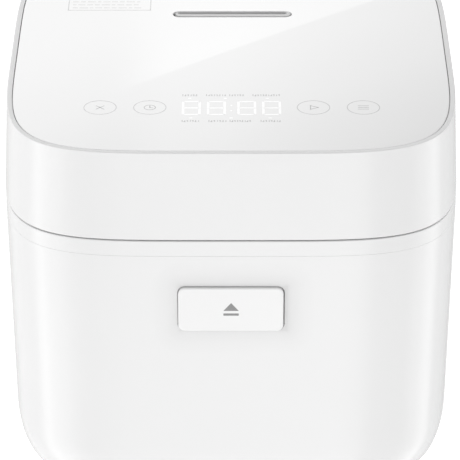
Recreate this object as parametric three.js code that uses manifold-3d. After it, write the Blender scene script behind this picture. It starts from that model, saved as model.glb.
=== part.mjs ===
// A 3 litre electric rice cooker with a rounded-square plan and a hinged touch-panel lid.
// Millimetres, +Z up, front at -Y, origin at the centre of the footprint on the worktop.
import * as THREE from "three";
import { mergeVertices } from "three/addons/utils/BufferGeometryUtils.js";
import Module from "manifold-3d";

const wasm = await Module();
wasm.setup();

// ---- Driving dimensions ----
const WIDTH = 236;
const DEPTH = 260;
const SQUARENESS = 4.87; // superellipse exponent of the plan
const PANEL_SQUARENESS = 5.09;
const PLAN_SEGMENTS = 32;
const ROUND_SEGMENTS = 32;
const GAP = 0.3; // between pieces that touch
const WALL = 2.6;
const DRAFT = 0.022; // body side taper per mm of height

const FOOT_HEIGHT = 4;
const FRAME_Z = 147; // body shell meets the upper frame
const SEAM_Z = 156; // body meets the lid
const TOP_Z = 203.7;
const BASE_FILLET = { wide: 14, tall: 30 };
const BASE_LIP = { half: 90, z: 6.8, thick: 2.6 };
const BASE_COVER = { half: 99, z: 4.2, thick: 2.3 };
const FOOT_AT = [70, 84];
const BASE_SCREW_AT = [80, 92];
const SCREW_R = 1.3;

const POT = { radius: 99.2, wall: 1.8, bottomZ: 42, flangeRadius: 106, flangeZ: 153, corner: 12 };
const DECK = { z: 150.3, thick: 2.3, openingRadius: 102.6 };
const LINER = { radius: 103, wall: 1, floorZ: 33, holeRadius: 72, topZ: 150 };
const HEATER = { radius: 80, hole: 22.5, z: 34.3, topZ: 41.7 };
const SENSOR = { radius: 17.8, canRadius: 12, canZ: 17, shoulderZ: 35.5 };
const BRACKET = { reach: 76, halfWidth: 17, z: 18.5, thick: 1.5, tab: 7 };
const BOARD = { x: [28, 88], y: [-42, 42], z: 10.5, thick: 1.6 };
const INLET = { x: 50, z: 52, faceY: 130.4, halfWide: 13.9, halfTall: 10.5, backY: 108 };
const INLET_PINS = { live: [-7, -1.5], neutral: [7, -1.5], earth: [0, 2.5] };

const BUTTON = { wide: 54.4, tall: 25.6, corner: 3.5, z: 117, faceY: -131.2 };
const BUTTON_SPRING = { x: 18, radius: 3.2, wire: 0.45, from: -128.8, to: -112.7 };
const LATCH = { y: -113, z: 134, halfWidth: 8, pinRadius: 1.5, padY: -120.7, padZ: 114 };
const CATCH_Y = [-110.3, -107.3];

const HINGE = { y: 132, z: SEAM_Z + 0.15, radius: 5.5, pinRadius: 2, lidHalf: 30, bodyHalf: 58 };
const LID_WALL_TOP = 116;
const PANEL = { half: 112.9, thick: 2.2, topZ: TOP_Z - 0.1 };
const GROOVE = 0.7;
const LID_DECK = { z: 199, topZ: 201.1 };
const STEAM = { y: 45.75, long: 64.3, wide: 9.9 };
const KEY = { radius: 8.8, y: -74.1, xs: [-67.2, -41.8, 41.8, 67.2] };
const DISPLAY = { halfWide: 30, y: [-85, -63] };
const CONTROL_BOARD = { halfWide: 80, y: [-98, -50], z: 194, thick: 1.6 };
const LID_LINER = { half: 113.4, z: 157.5, thick: 2.5, dishRadius: 104, dishTopZ: 168 };
const INNER_LID = { radius: 97.5, z: 158, thick: 1.2, raised: 1.6, hole: 9 };
const LID_SCREW_AT = [86, 96];

const DEPTH_EXTRA = (DEPTH - WIDTH) / 2;
const FULL_HALF = WIDTH / 2;

// ---- Geometry helpers ----
// A solid for cutting and joining, from any closed three.js geometry.
function solid(geometry) {
  const bare = new THREE.BufferGeometry();
  bare.setAttribute("position", geometry.getAttribute("position"));
  if (geometry.index) bare.setIndex(geometry.index);
  const merged = mergeVertices(bare);
  const corners = merged.index.array;
  const triangles = [];
  for (let i = 0; i < corners.length; i += 3) {
    const [a, b, c] = corners.subarray(i, i + 3);
    if (a !== b && b !== c && c !== a) triangles.push(a, b, c);
  }
  const build = () =>
    new wasm.Manifold(
      new wasm.Mesh({
        numProp: 3,
        vertProperties: new Float32Array(merged.getAttribute("position").array),
        triVerts: new Uint32Array(triangles),
      }),
    );
  const made = build();
  if (made.volume() > 0) return made;
  triangles.reverse();
  return build();
}

function geometryOf(body) {
  const mesh = body.getMesh();
  const geometry = new THREE.BufferGeometry();
  geometry.setAttribute("position", new THREE.BufferAttribute(mesh.vertProperties, 3));
  geometry.setIndex(new THREE.BufferAttribute(mesh.triVerts, 1));
  geometry.computeVertexNormals();
  return geometry;
}

const joined = (first, ...others) => others.reduce((all, one) => all.add(one), first);
const cut = (body, ...tools) => tools.reduce((rest, tool) => rest.subtract(tool), body);

function block([x0, x1], [y0, y1], [z0, z1]) {
  const geometry = new THREE.BoxGeometry(x1 - x0, y1 - y0, z1 - z0);
  return solid(geometry.translate((x0 + x1) / 2, (y0 + y1) / 2, (z0 + z1) / 2));
}

// A solid of revolution about +Z. The profile is [radius, z] points.
function turnedGeometry(profile, segments = ROUND_SEGMENTS) {
  const points = profile.map(([radius, z]) => new THREE.Vector2(radius, z));
  return new THREE.LatheGeometry(points, segments).rotateX(Math.PI / 2);
}

function turned(profile, segments) {
  return solid(turnedGeometry(profile, segments));
}

function post(radius, [z0, z1], [x, y] = [0, 0], segments = 8) {
  const geometry = new THREE.CylinderGeometry(radius, radius, z1 - z0, segments);
  return solid(geometry.rotateX(Math.PI / 2).translate(x, y, (z0 + z1) / 2));
}

function rodAlongX(radius, [x0, x1], [y, z], segments = 16) {
  const geometry = new THREE.CylinderGeometry(radius, radius, x1 - x0, segments);
  return solid(geometry.rotateZ(Math.PI / 2).translate((x0 + x1) / 2, y, z));
}

const signedPower = (value, power) =>
  Math.abs(value) < 1e-9 ? 0 : Math.sign(value) * Math.abs(value) ** power;

// A turned body whose circles are stretched to the cooker's rounded-square plan.
// The profile is [half width, z, squareness] points.
function squareTurned(profile) {
  const closed = profile[0][0] === 0 ? profile : [...profile, profile[0]];
  const geometry = turnedGeometry(closed, PLAN_SEGMENTS);
  const position = geometry.getAttribute("position");
  for (let i = 0; i < position.count; i++) {
    const [half, z, squareness = SQUARENESS] = closed[i % closed.length];
    const angle = (2 * Math.PI * Math.floor(i / closed.length)) / PLAN_SEGMENTS;
    const x = half * signedPower(Math.sin(angle), 2 / squareness);
    const y = half === 0 ? 0 : -(half + DEPTH_EXTRA) * signedPower(Math.cos(angle), 2 / squareness);
    position.setXYZ(i, x, y, z);
  }
  return solid(geometry);
}

function ring(profile, segments) {
  return turned([...profile, profile[0]], segments);
}

function roundedRectangle(wide, tall, corner) {
  const [w, h] = [wide / 2, tall / 2];
  const shape = new THREE.Shape();
  shape.moveTo(-w + corner, -h);
  shape.lineTo(w - corner, -h);
  shape.absarc(w - corner, -h + corner, corner, -Math.PI / 2, 0);
  shape.absarc(w - corner, h - corner, corner, 0, Math.PI / 2);
  shape.absarc(-w + corner, h - corner, corner, Math.PI / 2, Math.PI);
  shape.absarc(-w + corner, -h + corner, corner, Math.PI, 1.5 * Math.PI);
  return shape;
}

function extruded(shape, depth) {
  return new THREE.ExtrudeGeometry(shape, { depth, bevelEnabled: false, curveSegments: 3 });
}

// A rounded rectangle facing up, between two heights.
function flatSlab(wide, tall, corner, [z0, z1], [x, y]) {
  return solid(extruded(roundedRectangle(wide, tall, corner), z1 - z0).translate(x, y, z0));
}

// A rounded rectangle facing the front, between two depths.
function frontSlab(wide, tall, corner, [y0, y1], [x, z]) {
  const geometry = extruded(roundedRectangle(wide, tall, corner), y1 - y0);
  return solid(geometry.rotateX(Math.PI / 2).translate(x, y1, z));
}

// A side view of [y, z] points, as wide as x runs.
function sideProfile(points, [x0, x1]) {
  const shape = new THREE.Shape(points.map(([y, z]) => new THREE.Vector2(y, z)));
  const turn = new THREE.Matrix4().makeBasis(
    new THREE.Vector3(0, 1, 0),
    new THREE.Vector3(0, 0, 1),
    new THREE.Vector3(1, 0, 0),
  );
  return solid(extruded(shape, x1 - x0).applyMatrix4(turn).translate(x0, 0, 0));
}

function tube(curve, radius, steps) {
  const section = new THREE.Shape().absarc(0, 0, radius, 0, 2 * Math.PI);
  return solid(
    new THREE.ExtrudeGeometry(section, { steps, curveSegments: 3, extrudePath: curve }),
  );
}

class Helix extends THREE.Curve {
  constructor(radius, length, turns) {
    super();
    Object.assign(this, { radius, length, turns });
  }

  getPoint(t, target = new THREE.Vector3()) {
    const angle = 2 * Math.PI * this.turns * t;
    return target.set(
      this.radius * Math.cos(angle),
      this.radius * Math.sin(angle),
      this.length * t,
    );
  }
}

function spring(radius, wire, length, turns) {
  return tube(new Helix(radius, length - 2 * wire, turns), wire, turns * 7);
}

function lead(points, radius = 1.1) {
  const curve = new THREE.CatmullRomCurve3(points.map((point) => new THREE.Vector3(...point)));
  return tube(curve, radius, 3 * (points.length - 1));
}

// ---- Materials ----
const finish = (color, roughness, metalness = 0) =>
  new THREE.MeshStandardMaterial({ color, roughness, metalness });
const WHITE_SHELL = finish(0xf1f1f0, 0.32);
const WHITE_PANEL = finish(0xf4f4f4, 0.06);
const WHITE_TRIM = finish(0xe6e6e6, 0.3);
const GREY_PLASTIC = finish(0xc9cacb, 0.5);
const BLACK_PLASTIC = finish(0x222224, 0.5);
const RUBBER = finish(0x3a3a3c, 0.85);
const SILICONE = finish(0xd8d8d6, 0.6);
const ALUMINIUM = finish(0xb9bbbe, 0.35, 1);
const STEEL = finish(0xa9abae, 0.3, 1);
const BRASS = finish(0xb08d57, 0.35, 1);
const POT_COAT = finish(0x2b2b2d, 0.45, 0.2);
const CIRCUIT = finish(0x1f5a3a, 0.55);
const LEAD_SLEEVE = finish(0xe9e4da, 0.7);

function piece(group, name, body, material, place = [0, 0, 0]) {
  const mesh = new THREE.Mesh(geometryOf(body), material);
  mesh.name = name;
  mesh.position.set(...place);
  group.add(mesh);
}

const CORNERS = [
  ["front_left", -1, -1],
  ["front_right", 1, -1],
  ["rear_left", -1, 1],
  ["rear_right", 1, 1],
];

function screw(headRadius, headTall, length) {
  return turned(
    [
      [0, 0],
      [headRadius, 0],
      [headRadius, headTall],
      [SCREW_R, headTall],
      [SCREW_R, length],
      [0, length],
    ],
    8,
  );
}

// ---- Body ----
const bodyHalfAt = (z) => FULL_HALF - DRAFT * (SEAM_Z - z);

function bodyShell() {
  const filletTop = FOOT_HEIGHT + BASE_FILLET.tall;
  const filletHalf = bodyHalfAt(filletTop) - BASE_FILLET.wide;
  const curve = (inset, from) => {
    const points = [];
    for (let step = from; step <= 4; step++) {
      const angle = (step * Math.PI) / 8;
      points.push([
        filletHalf + BASE_FILLET.wide * Math.sin(angle) - inset,
        filletTop - BASE_FILLET.tall * Math.cos(angle),
      ]);
    }
    return points;
  };
  const lipTop = BASE_LIP.z + BASE_LIP.thick;
  const profile = [
    ...curve(0, 0),
    [bodyHalfAt(FRAME_Z) - 0.3, FRAME_Z - 0.4],
    [bodyHalfAt(FRAME_Z) - 0.6, FRAME_Z],
    [bodyHalfAt(FRAME_Z) - WALL, FRAME_Z],
    ...curve(WALL, 2).reverse(),
    [filletHalf + 2, lipTop],
    [BASE_LIP.half, lipTop],
    [BASE_LIP.half, BASE_LIP.z],
    [BASE_COVER.half + 0.4, BASE_LIP.z],
    [BASE_COVER.half + 0.4, FOOT_HEIGHT],
  ];
  const [sx, sy] = BASE_SCREW_AT;
  const padHalf = [19, 14];
  let body = joined(
    squareTurned(profile),
    block(
      [INLET.x - padHalf[0], INLET.x + padHalf[0]],
      [122.4, INLET.faceY - 2.1],
      [INLET.z - padHalf[1], INLET.z + padHalf[1]],
    ),
    ...CORNERS.map(([, i, j]) => post(4, [lipTop - 0.5, 18], [i * sx, j * sy])),
  );
  body = cut(
    body,
    frontSlab(BUTTON.wide + 0.8, BUTTON.tall + 0.8, BUTTON.corner + 0.4, [-140, -110], [0, BUTTON.z]),
    block(
      [INLET.x - INLET.halfWide - GAP, INLET.x + INLET.halfWide + GAP],
      [115, 135],
      [INLET.z - INLET.halfTall - GAP, INLET.z + INLET.halfTall + GAP],
    ),
    ...CORNERS.map(([, i, j]) => post(SCREW_R + 0.4, [0, 17], [i * sx, j * sy])),
  );
  return body;
}

function upperFrame() {
  const inner = bodyHalfAt(FRAME_Z) - WALL - GAP;
  const deckTop = DECK.z + DECK.thick;
  const plate = squareTurned([
    [0, DECK.z],
    [inner - 2, DECK.z],
    [inner - 2, FRAME_Z - 6],
    [inner, FRAME_Z - 6],
    [inner, FRAME_Z + GAP],
    [bodyHalfAt(FRAME_Z) - 0.5, FRAME_Z + GAP],
    [bodyHalfAt(FRAME_Z), FRAME_Z + 0.9],
    [FULL_HALF - 0.2, SEAM_Z - 0.9],
    [FULL_HALF - 0.8, SEAM_Z - GAP],
    [FULL_HALF - 2.6, SEAM_Z - GAP],
    [FULL_HALF - 3, deckTop],
    [0, deckTop],
  ]);
  const axle = [HINGE.y, HINGE.z];
  const knuckles = [-1, 1].flatMap((side) => {
    const run = [side * (HINGE.lidHalf + 1), side * HINGE.bodyHalf].sort((a, b) => a - b);
    return [
      rodAlongX(HINGE.radius, run, axle),
      block(run, [126.5, HINGE.y], [149.5, SEAM_Z - GAP]),
    ];
  });
  const latchEars = [-1, 1].flatMap((side) => [
    block([side * 10, side * 12.5].sort((a, b) => a - b), [-117, -109.5], [129.5, DECK.z + 1]),
    block([side * 12.4, side * 24].sort((a, b) => a - b), [-112.4, -110.4], [112, DECK.z + 1]),
  ]);
  return cut(
    joined(plate, ...knuckles, ...latchEars),
    turned([[0, 140], [DECK.openingRadius, 140], [DECK.openingRadius, 160], [0, 160]]),
    block([-9.5, 9.5], [-120.5, -110], [FRAME_Z, 160]),
    rodAlongX(HINGE.radius + 0.5, [-HINGE.lidHalf - 0.5, HINGE.lidHalf + 0.5], axle),
    rodAlongX(HINGE.pinRadius + GAP, [-60, 60], axle),
    rodAlongX(LATCH.pinRadius + 0.25, [-13, 13], [LATCH.y, LATCH.z], 16),
  );
}

function baseCover() {
  const top = BASE_COVER.z + BASE_COVER.thick;
  const plate = squareTurned([
    [0, BASE_COVER.z],
    [BASE_COVER.half, BASE_COVER.z],
    [BASE_COVER.half, top],
    [0, top],
  ]);
  const standoffs = [34, 82].flatMap((x) =>
    [-36, 36].map((y) => post(2.5, [top - 0.5, BOARD.z - GAP], [x, y])),
  );
  const vents = [];
  for (let row = 0; row < 2; row++) {
    for (let i = 0; i < 9; i++) {
      const x = -52 + 8 * i;
      const y = row ? 18 : -54;
      vents.push(block([x - 1.5, x + 1.5], [y, y + 36], [0, 10]));
    }
  }
  const holes = CORNERS.flatMap(([, i, j]) => [
    post(3.3, [0, 10], [i * FOOT_AT[0], j * FOOT_AT[1]], 12),
    post(SCREW_R + 0.4, [0, 10], [i * BASE_SCREW_AT[0], j * BASE_SCREW_AT[1]]),
  ]);
  return cut(joined(plate, ...standoffs), ...vents, ...holes);
}

function foot() {
  return turned(
    [
      [0, 0],
      [8.4, 0],
      [9, 0.8],
      [9, FOOT_HEIGHT - 0.1],
      [3, FOOT_HEIGHT - 0.1],
      [3, 9],
      [0, 9],
    ],
    12,
  );
}

function heatLiner() {
  const inner = LINER.radius - LINER.wall;
  return ring([
    [LINER.holeRadius, LINER.floorZ],
    [LINER.radius, LINER.floorZ],
    [LINER.radius, LINER.topZ],
    [inner, LINER.topZ],
    [inner, LINER.floorZ + LINER.wall],
    [LINER.holeRadius, LINER.floorZ + LINER.wall],
  ]);
}

const HEATER_TERMINALS = [-26, 26].map((x) => [x, -52]);

function heaterPlate() {
  const plate = ring([
    [HEATER.hole, HEATER.z],
    [HEATER.radius, HEATER.z],
    [HEATER.radius, HEATER.topZ - 2.2],
    [HEATER.radius - 4, HEATER.topZ - 0.5],
    [HEATER.radius - 20, HEATER.topZ],
    [HEATER.hole, HEATER.topZ],
  ]);
  return joined(plate, ...HEATER_TERMINALS.map((at) => post(2.5, [24, HEATER.z + 2], at, 10)));
}

function tempSensor() {
  return turned(
    [
      [0, SENSOR.canZ],
      [SENSOR.canRadius, SENSOR.canZ],
      [SENSOR.canRadius, SENSOR.shoulderZ],
      [SENSOR.radius, SENSOR.shoulderZ],
      [SENSOR.radius, HEATER.topZ - 0.6],
      [SENSOR.radius - 0.6, HEATER.topZ],
      [0, HEATER.topZ],
    ],
    24,
  );
}

function sensorBracket() {
  const { reach, halfWidth, z, thick, tab } = BRACKET;
  const topZ = LINER.floorZ - GAP;
  const half = [
    [reach, z],
    [reach, topZ - thick],
    [reach + tab, topZ - thick],
    [reach + tab, topZ],
    [reach - thick, topZ],
    [reach - thick, z + thick],
  ];
  const mirrored = half.map(([y, height]) => [-y, height]).reverse();
  return cut(
    sideProfile([...half, ...mirrored], [-halfWidth, halfWidth]),
    post(SENSOR.canRadius + 1, [z - 1, z + thick + 1], [0, 0], 24),
  );
}

function fuseClip([y, z]) {
  return cut(
    block([-4, 4], [y - 3.5, y + 3.5], [z - 3.2, HEATER.z - GAP]),
    rodAlongX(2.3, [-5, 5], [y, z], 16),
  );
}

// The mains inlet: a flanged socket with three blades through its back wall.
const bladeAt = ([dx, dz], half, [y0, y1]) =>
  block(
    [INLET.x + dx - half[0], INLET.x + dx + half[0]],
    [y0, y1],
    [INLET.z + dz - half[1], INLET.z + dz + half[1]],
  );

function powerInlet() {
  const { x, z, faceY, halfWide, halfTall, backY } = INLET;
  const flange = frontSlab(34, 25, 3, [faceY - 1.8, faceY], [x, z]);
  const shell = block([x - halfWide, x + halfWide], [backY, faceY - 1], [z - halfTall, z + halfTall]);
  return cut(
    joined(flange, shell),
    frontSlab(24.4, 17.6, 2.5, [backY + 5, faceY + 5], [x, z]),
    ...Object.values(INLET_PINS).map((at) => bladeAt(at, [1.3, 2.3], [backY - 1, backY + 6])),
  );
}

// ---- Latch ----
function releaseButton() {
  const { wide, tall, corner, z, faceY } = BUTTON;
  const cap = frontSlab(wide, tall, corner, [faceY, -123.7], [0, z]);
  const flange = frontSlab(wide + 5, tall + 5, corner + 2, [-125.3, -123.7], [0, z]);
  const hollow = frontSlab(wide - 4.4, tall - 4.4, corner - 1.5, [faceY + 2.1, -120], [0, z]);
  const pusher = block([-5, 5], [faceY + 1.5, -121], [LATCH.padZ - 3, LATCH.padZ]);
  return joined(cut(joined(cap, flange), hollow), pusher);
}

function latchLever() {
  const { y, z, halfWidth, padY, padZ } = LATCH;
  const blade = sideProfile(
    [
      [padY, padZ - 3],
      [padY + 2.6, padZ - 3],
      [y + 3, z - 3],
      [y + 3, z + 3],
      [y, z + 12],
      [y, SEAM_Z + 3.5],
      [y + 2.4, SEAM_Z + 4.2],
      [y + 2.4, SEAM_Z + 5.4],
      [y, SEAM_Z + 7.5],
      [y - 3, SEAM_Z + 7.5],
      [y - 3, z],
      [padY, padZ + 3],
    ],
    [-halfWidth, halfWidth],
  );
  const hub = rodAlongX(4.5, [-halfWidth, halfWidth], [y, z], 16);
  return cut(joined(blade, hub), rodAlongX(LATCH.pinRadius + 0.25, [-9, 9], [y, z], 16));
}

// ---- Pot ----
function innerPot() {
  const { radius, wall, bottomZ, flangeRadius, flangeZ, corner } = POT;
  const bend = (inset, steps) =>
    Array.from({ length: steps + 1 }, (_, step) => {
      const angle = (step * Math.PI) / (2 * steps);
      return [
        radius - corner + (corner - inset) * Math.sin(angle),
        bottomZ + corner - (corner - inset) * Math.cos(angle),
      ];
    });
  return turned([
    [0, bottomZ],
    ...bend(0, 4),
    [radius, flangeZ - 1.2],
    [radius + 1, flangeZ],
    [flangeRadius, flangeZ],
    [flangeRadius, flangeZ + 1.4],
    [flangeRadius - 0.7, flangeZ + 2.1],
    [radius - wall + 1.4, flangeZ + 2.1],
    [radius - wall, flangeZ + 0.6],
    ...bend(wall, 4).reverse(),
    [0, bottomZ + wall],
  ]);
}

// ---- Lid ----
function lidShell() {
  const inner = FULL_HALF - WALL;
  const seat = PANEL.half + GROOVE;
  const shell = squareTurned([
    [0, LID_DECK.z],
    [seat + GROOVE - 1, LID_DECK.z, PANEL_SQUARENESS],
    [inner - 1.2, LID_DECK.z - 6],
    [inner, SEAM_Z + 6],
    [inner, SEAM_Z + GAP],
    [FULL_HALF - 0.5, SEAM_Z + GAP],
    [FULL_HALF, SEAM_Z + 1],
    [FULL_HALF - 0.5, SEAM_Z + 6],
    [LID_WALL_TOP + 0.15, TOP_Z - 2.2],
    [LID_WALL_TOP - 0.6, TOP_Z - 0.2],
    [LID_WALL_TOP - 1.4, TOP_Z],
    [seat, TOP_Z, PANEL_SQUARENESS],
    [seat, LID_DECK.topZ, PANEL_SQUARENESS],
    [0, LID_DECK.topZ],
  ]);
  const axle = [HINGE.y, HINGE.z];
  const [sx, sy] = LID_SCREW_AT;
  const lidRun = [-HINGE.lidHalf, HINGE.lidHalf];
  const displayRun = [DISPLAY.y[0] - 0.4, DISPLAY.y[1] + 0.4];
  const bosses = CORNERS.flatMap(([, i, j]) => [
    post(4, [LID_LINER.z + LID_LINER.thick + GAP, LID_DECK.z + 0.5], [i * sx, j * sy]),
    post(3, [CONTROL_BOARD.z + 1.9, LID_DECK.z + 0.5], [i * 76, j < 0 ? -94 : -54]),
  ]);
  const whole = joined(
    shell,
    rodAlongX(HINGE.radius, lidRun, axle),
    block(lidRun, [126.5, HINGE.y], [SEAM_Z + 0.6, SEAM_Z + 7]),
    ...bosses,
  );
  return cut(
    whole,
    rodAlongX(HINGE.radius + 0.5, [HINGE.lidHalf + 0.5, HINGE.bodyHalf + 0.5], axle),
    rodAlongX(HINGE.radius + 0.5, [-HINGE.bodyHalf - 0.5, -HINGE.lidHalf - 0.5], axle),
    rodAlongX(HINGE.pinRadius + GAP, [-60, 60], axle),
    block([-DISPLAY.halfWide - 0.4, DISPLAY.halfWide + 0.4], displayRun, [190, 205]),
    flatSlab(STEAM.long + 0.8, STEAM.wide + 0.8, 5.3, [190, 205], [0, STEAM.y]),
    ...KEY.xs.map((x) => post(KEY.radius - 0.6, [190, 205], [x, KEY.y], 20)),
    ...CORNERS.map(([, i, j]) => post(SCREW_R + 0.3, [150, 175.5], [i * sx, j * sy])),
  );
}

function touchPanel() {
  const { half, thick, topZ } = PANEL;
  const plate = squareTurned([
    [0, topZ - thick],
    [half, topZ - thick, PANEL_SQUARENESS],
    [half, topZ - 0.4, PANEL_SQUARENESS],
    [half - 0.5, topZ, PANEL_SQUARENESS],
    [0, topZ],
  ]);
  return cut(plate, flatSlab(STEAM.long + 0.7, STEAM.wide + 0.7, 5.25, [190, 210], [0, STEAM.y]));
}

function steamOutlet() {
  const { long, wide, y } = STEAM;
  return cut(
    flatSlab(long, wide, wide / 2 - 0.01, [196, TOP_Z - 0.3], [0, y]),
    flatSlab(long - 2.4, wide - 2.4, wide / 2 - 1.3, [198.5, 210], [0, y]),
    flatSlab(long - 8, 3, 1.4, [190, 205], [0, y + 1.6]),
  );
}

function steamValveBody() {
  return ring(
    [
      [8, 162.6],
      [12.5, 162.6],
      [12.5, 195.7],
      [10.5, 195.7],
      [10.5, 164.6],
      [8, 164.6],
    ],
    24,
  );
}

function steamValveGasket() {
  return ring([[8, 161.1], [12, 161.1], [12, 162.3], [8, 162.3]], 24);
}

function lidLiner() {
  const { half, z, thick, dishRadius, dishTopZ } = LID_LINER;
  const border = z + thick;
  const outerSkin = squareTurned([[0, z], [half, z], [half, dishTopZ], [0, dishTopZ]]);
  const borderHollow = cut(
    squareTurned([[0, border], [half - 2, border], [half - 2, 180], [0, 180]]),
    turned([[0, 150], [dishRadius + 2, 150], [dishRadius + 2, 190], [0, 190]]),
  );
  const dish = turned([[0, 150], [dishRadius, 150], [dishRadius, dishTopZ - 2], [0, dishTopZ - 2]]);
  const stud = post(3, [INNER_LID.z + 0.6, dishTopZ - 1], [0, 0], 12);
  const [sx, sy] = LID_SCREW_AT;
  return cut(
    joined(cut(outerSkin, borderHollow, dish), stud),
    post(13, [160, 170], [0, STEAM.y], 20),
    block([-13.5, 13.5], [-121, -106.6], [150, 175]),
    ...CORNERS.map(([, i, j]) => post(SCREW_R + 0.4, [150, 175], [i * sx, j * sy])),
  );
}

function innerLid() {
  const { radius, z, thick, raised, hole } = INNER_LID;
  const disc = ring([
    [hole, z + raised],
    [70, z + raised],
    [80, z],
    [radius, z],
    [radius, z + thick],
    [80, z + thick],
    [70, z + raised + thick],
    [hole, z + raised + thick],
  ]);
  return cut(disc, post(8, [150, 170], [0, STEAM.y], 20));
}

function innerLidSeal() {
  return ring([
    [95.5, 157],
    [99, 157],
    [103.2, 155.4],
    [103.4, 156.2],
    [100.2, 158.4],
    [100.2, 160.2],
    [96, 159.5],
    [97.8, 159.5],
    [97.8, 157.7],
    [95.5, 157.7],
  ]);
}

function innerLidGrommet() {
  return ring(
    [
      [3.4, 157.8],
      [11, 157.8],
      [11, 159.3],
      [8.7, 159.3],
      [8.7, 161.1],
      [11, 161.1],
      [11, 162.6],
      [3.4, 162.6],
    ],
    20,
  );
}

function lidCatch() {
  const barTop = SEAM_Z + 3.4;
  const tabZ = LID_LINER.z + LID_LINER.thick + GAP;
  return joined(
    block([-12, 12], CATCH_Y, [SEAM_Z + 1, barTop]),
    ...[-1, 1].flatMap((side) => [
      block([side * 10.5, side * 12].sort((a, b) => a - b), CATCH_Y, [SEAM_Z + 1, tabZ + 1.5]),
      block([side * 10.5, side * 18].sort((a, b) => a - b), CATCH_Y, [tabZ, tabZ + 1.5]),
    ]),
  );
}

// ---- Assembly ----
// Button and hinge stand out by different amounts, so the group shifts to centre the whole length.
const cooker = new THREE.Group();
cooker.position.y = -(BUTTON.faceY + HINGE.y + HINGE.radius) / 2;

const base = new THREE.Group();
cooker.add(base);
piece(base, "body_shell", bodyShell(), WHITE_SHELL);
piece(base, "upper_frame", upperFrame(), WHITE_SHELL);
piece(base, "base_cover", baseCover(), GREY_PLASTIC);
for (const [corner, i, j] of CORNERS) {
  piece(base, "foot_" + corner, foot(), RUBBER, [i * FOOT_AT[0], j * FOOT_AT[1], 0]);
  const under = [i * BASE_SCREW_AT[0], j * BASE_SCREW_AT[1], BASE_COVER.z - 1.7];
  piece(base, "base_screw_" + corner, screw(3.2, 1.4, 13), STEEL, under);
}
piece(base, "heat_liner", heatLiner(), STEEL);
piece(base, "heater_plate", heaterPlate(), ALUMINIUM);
piece(base, "sensor_bracket", sensorBracket(), STEEL);
const FUSE_AT = [48, 30];
piece(base, "thermal_fuse", rodAlongX(2, [-12, 12], FUSE_AT, 12), STEEL);
piece(base, "thermal_fuse_clip", fuseClip(FUSE_AT), STEEL);
piece(base, "hinge_pin", rodAlongX(HINGE.pinRadius, [-57, 57], [HINGE.y, HINGE.z], 16), STEEL);
piece(base, "latch_pin", rodAlongX(LATCH.pinRadius, [-12.8, 12.8], [LATCH.y, LATCH.z], 16), STEEL);

const power = new THREE.Group();
base.add(power);
const boardTop = BOARD.z + BOARD.thick + GAP;
piece(power, "power_board", block(BOARD.x, BOARD.y, [BOARD.z, BOARD.z + BOARD.thick]), CIRCUIT);
piece(power, "transformer", block([40, 68], [-30, -4], [boardTop, 29]), BLACK_PLASTIC);
piece(power, "relay", block([62, 80], [8, 22], [boardTop, 27]), BLACK_PLASTIC);
piece(power, "capacitor", post(6, [boardTop, 28], [42, 14], 16), LEAD_SLEEVE);
piece(power, "power_inlet", powerInlet(), BLACK_PLASTIC);
for (const [pin, at] of Object.entries(INLET_PINS)) {
  piece(power, "inlet_pin_" + pin, bladeAt(at, [1, 2], [101, 127]), BRASS);
}
for (const pin of ["live", "neutral"]) {
  const x = INLET.x + INLET_PINS[pin][0];
  const path = [
    [x, 100, 50],
    [x, 98.6, 47],
    [x, 98, 40],
    [x, 97, 26],
    [x, 80, 19],
    [x, 48, 17],
    [x, 38, 13.2],
  ];
  piece(power, "inlet_lead_" + pin, lead(path), LEAD_SLEEVE);
}
const rightPath = [[26, -52, 23.5], [26, -50, 19], [29, -42, 15.5], [32, -34, 13.4]];
const leftPath = [[-26, -52, 23.5], [-25, -51, 17], [-14, -46, 14.5], [12, -38, 14.5], [32, -27, 13.4]];
piece(power, "heater_lead_right", lead(rightPath), LEAD_SLEEVE);
piece(power, "heater_lead_left", lead(leftPath), LEAD_SLEEVE);

piece(cooker, "temp_sensor", tempSensor(), ALUMINIUM);
const springZ = BRACKET.z + BRACKET.thick + 1.1;
const sensorSpring = spring(14.6, 0.7, SENSOR.shoulderZ - springZ, 3);
piece(cooker, "sensor_spring", sensorSpring, STEEL, [0, 0, springZ]);

const latch = new THREE.Group();
cooker.add(latch);
piece(latch, "release_button", releaseButton(), WHITE_SHELL);
piece(latch, "latch_lever", latchLever(), WHITE_TRIM);
for (const [side, sign] of [["left", -1], ["right", 1]]) {
  const { x, radius, wire, from, to } = BUTTON_SPRING;
  const coil = geometryOf(spring(radius, wire, to - from, 5)).rotateX(-Math.PI / 2);
  piece(latch, "button_spring_" + side, solid(coil), STEEL, [sign * x, from + wire, BUTTON.z]);
}

piece(cooker, "inner_pot", innerPot(), POT_COAT);

const lid = new THREE.Group();
cooker.add(lid);
piece(lid, "lid_shell", lidShell(), WHITE_SHELL);
piece(lid, "touch_panel", touchPanel(), WHITE_PANEL);
piece(lid, "steam_outlet", steamOutlet(), WHITE_TRIM);
piece(lid, "steam_valve_body", steamValveBody(), GREY_PLASTIC, [0, STEAM.y, 0]);
piece(lid, "steam_valve_gasket", steamValveGasket(), SILICONE, [0, STEAM.y, 0]);
piece(lid, "lid_liner", lidLiner(), GREY_PLASTIC);
piece(lid, "inner_lid", innerLid(), ALUMINIUM);
piece(lid, "inner_lid_seal", innerLidSeal(), SILICONE);
piece(lid, "inner_lid_grommet", innerLidGrommet(), SILICONE);
piece(lid, "lid_catch", lidCatch(), STEEL);
for (const [corner, i, j] of CORNERS) {
  const under = [i * LID_SCREW_AT[0], j * LID_SCREW_AT[1], LID_LINER.z - 1.7];
  piece(lid, "lid_screw_" + corner, screw(3.2, 1.4, 18), STEEL, under);
}

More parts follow.
